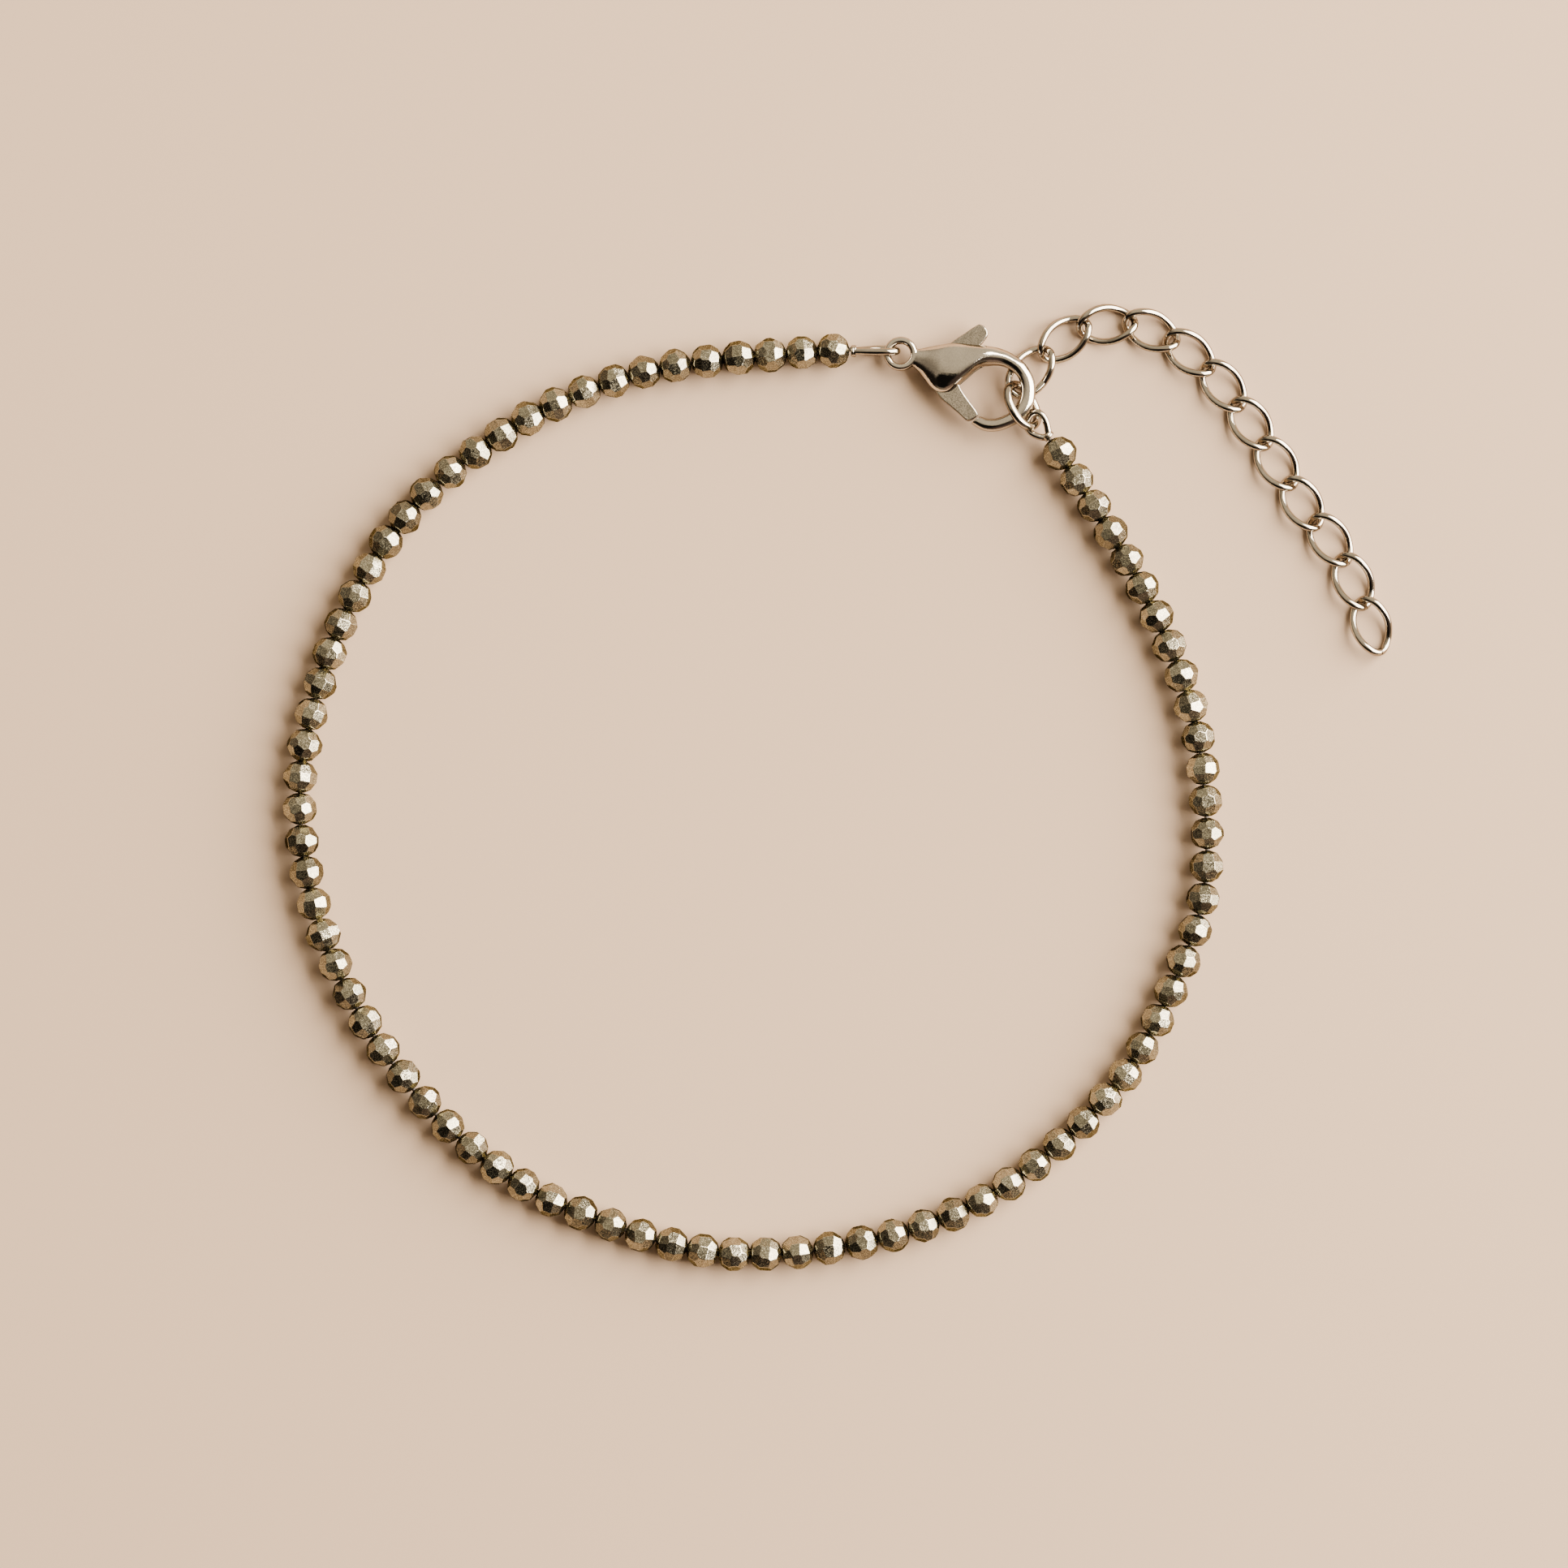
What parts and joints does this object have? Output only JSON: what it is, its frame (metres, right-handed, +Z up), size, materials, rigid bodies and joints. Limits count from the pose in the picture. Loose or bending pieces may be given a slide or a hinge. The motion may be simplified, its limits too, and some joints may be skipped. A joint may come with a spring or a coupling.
{
  "type": "anklet",
  "caption": "Closed anklet of small faceted stone beads with a lobster clasp, a jump ring and an extender chain of twisted oval links.",
  "frame": {"origin": "middle of the outline, on the surface that the anklet lies on", "axes": "+Z up from the surface, +Y to the side where the clasp lies, +X to the side of the extender chain"},
  "size_m": [0.0926, 0.0807, 0.0034],
  "materials": {
    "stone": "faceted and polished, with a dark metallic lustre",
    "cast_plate": "plated casting, bright warm silver",
    "wire_plate": "plated round wire, bright warm silver"
  },
  "bodies": {
    "anklet": {"strand_1": "stone", "strand_2": "stone", "strand_3": "stone", "strand_4": "stone", "strand_5": "stone", "strand_6": "stone", "strand_7": "stone", "strand_8": "stone", "clamp_loop": "wire_plate", "clasp_body": "cast_plate", "jump_ring": "wire_plate", "far_loop": "wire_plate", "chain_link_01": "wire_plate", "chain_link_02": "wire_plate", "chain_link_03": "wire_plate", "chain_link_04": "wire_plate", "chain_link_05": "wire_plate", "chain_link_06": "wire_plate", "chain_link_07": "wire_plate", "chain_link_08": "wire_plate", "chain_link_09": "wire_plate", "chain_link_10": "wire_plate", "chain_link_11": "wire_plate", "chain_link_12": "wire_plate"},
    "lever": {"clasp_lever": "cast_plate"}
  },
  "joints": [
    {"name": "lever_hinge", "type": "hinge", "parent": "anklet", "child": "lever", "pos_m": [0.00958, 0.03562, 0.00159], "axis": [-0.0636, 0.0286, 0.9976], "range_deg": [0, 25], "stiffness_Nm_per_rad": 0.0005}
  ]
}
